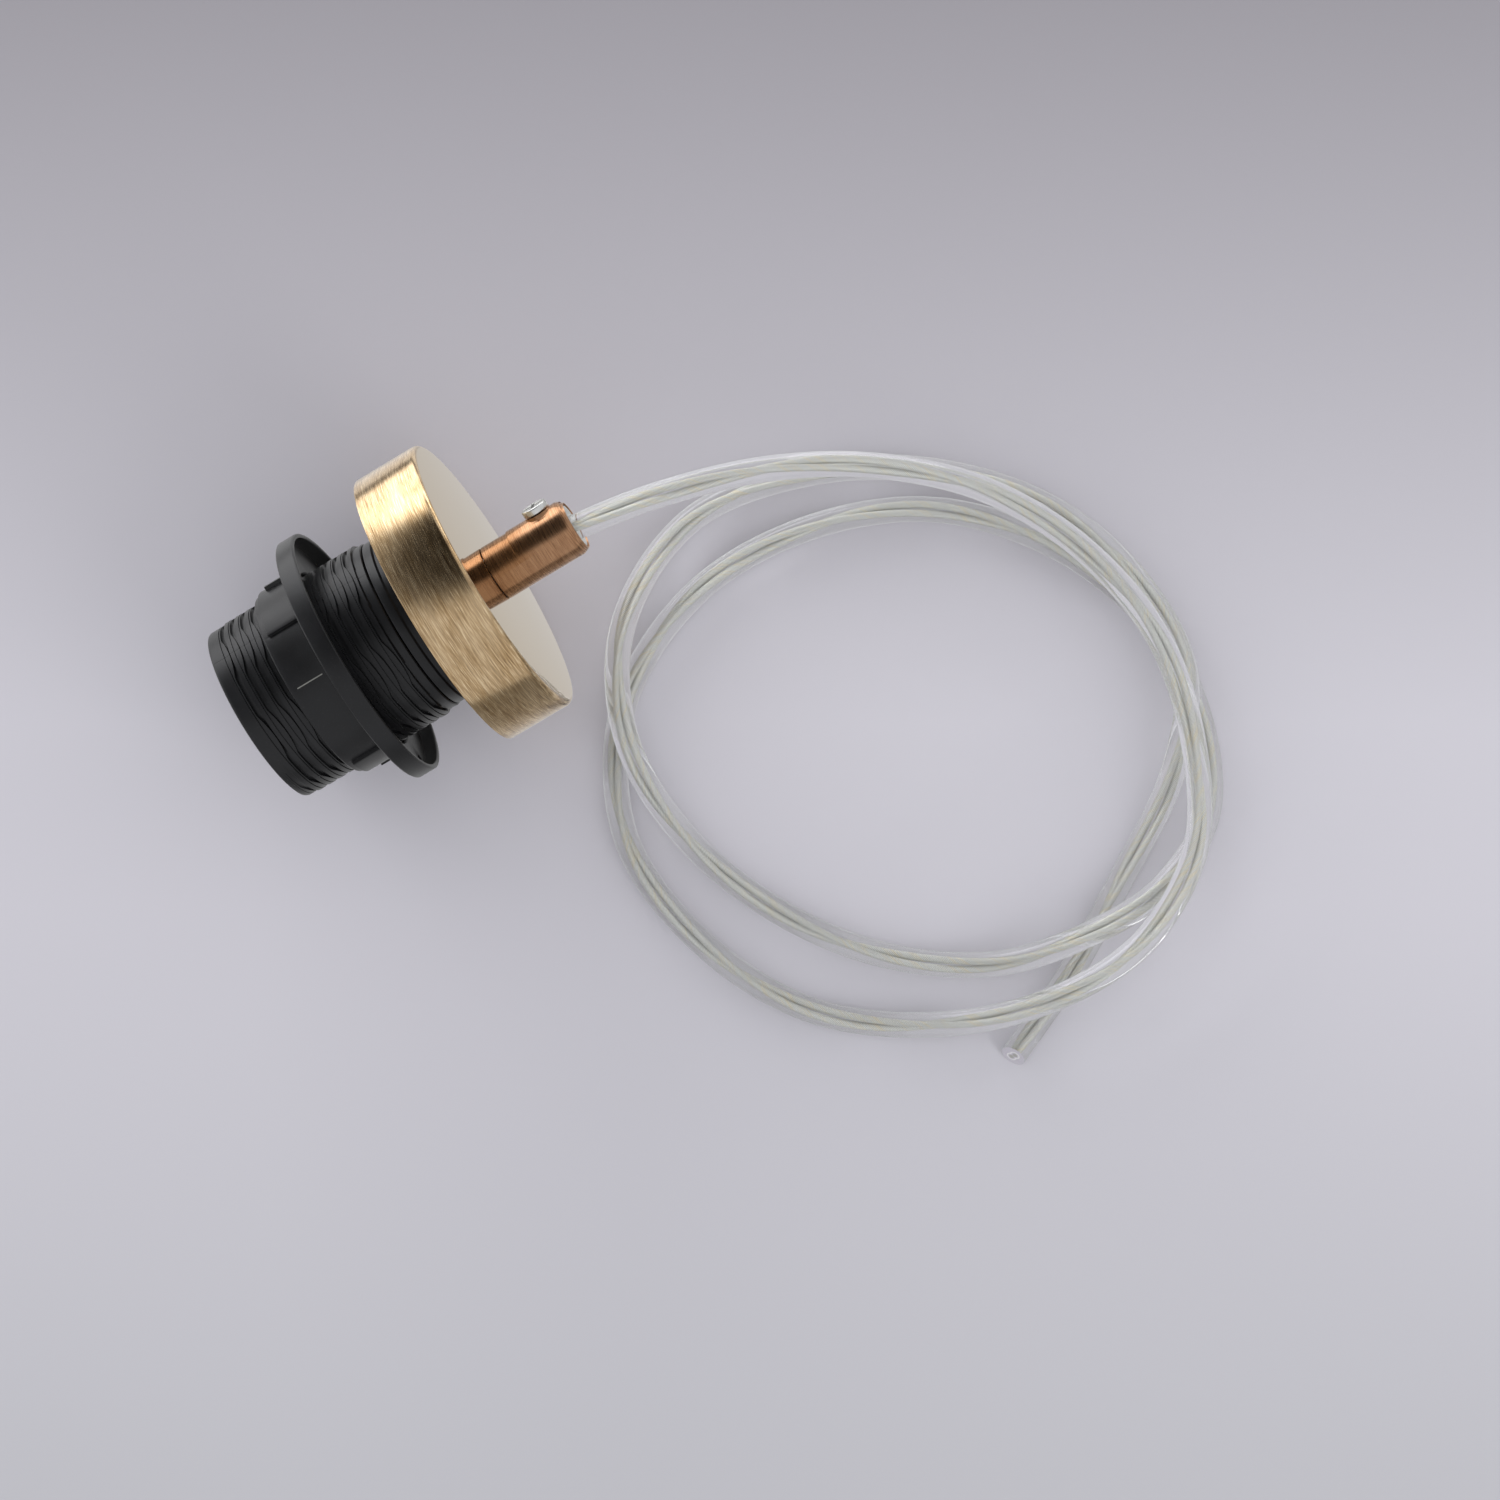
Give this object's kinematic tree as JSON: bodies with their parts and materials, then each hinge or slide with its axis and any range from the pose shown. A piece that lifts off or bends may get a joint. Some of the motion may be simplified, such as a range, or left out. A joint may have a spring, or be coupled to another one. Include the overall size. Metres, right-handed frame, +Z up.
{
  "type": "pendant cord set",
  "caption": "Pendant lamp holder with threaded barrel, screw-on shade ring, brass cup, copper cord grip with side screw, and a loosely coiled clear round flex with a bare end.",
  "frame": {"origin": "on the table, under the middle of the holder, cup and cord grip, the flex left out", "axes": "+X along the holder from its open end towards the flex, +Z up; the holder lies on the rims of its cup and shade ring, so its axis rises 7.45 degrees towards +X"},
  "size_m": [0.1786, 0.1764, 0.0632],
  "materials": {
    "black_plastic": "fine spark-eroded matt",
    "aged_brass": "brushed round the cup, aged and lacquered",
    "brown_copper": "brushed, dark brown copper",
    "contact_brass": "stamped, plain",
    "steel": "nickel plated",
    "tinned_wire": "tinned, crimped",
    "white_block": "white moulded insulator",
    "pale_plastic": "natural moulded nylon",
    "clear_pvc": "clear, glossy, tinned strands showing inside"
  },
  "bodies": {
    "holder": {"barrel": "black_plastic", "cap": "black_plastic", "locking_screw": "steel", "nipple": "steel", "brass_cup": "aged_brass", "cord_grip": "brown_copper", "grip_liner": "pale_plastic", "clamp_pad": "pale_plastic", "grip_screw": "steel", "contact_block": "white_block", "centre_contact": "contact_brass", "side_contact": "contact_brass", "live_terminal": "contact_brass", "neutral_terminal": "contact_brass", "live_terminal_screw": "steel", "neutral_terminal_screw": "steel", "live_rivet": "contact_brass", "neutral_rivet": "contact_brass", "live_core": "clear_pvc", "neutral_core": "clear_pvc", "live_ferrule": "tinned_wire", "neutral_ferrule": "tinned_wire", "cord": "clear_pvc"},
    "ring": {"shade_ring": "black_plastic"}
  },
  "joints": [
    {"name": "shade_ring_travel", "type": "slide", "parent": "holder", "child": "ring", "axis": [0.9915, 0, 0.1297], "range_m": [-0.012, 0.0118]}
  ]
}
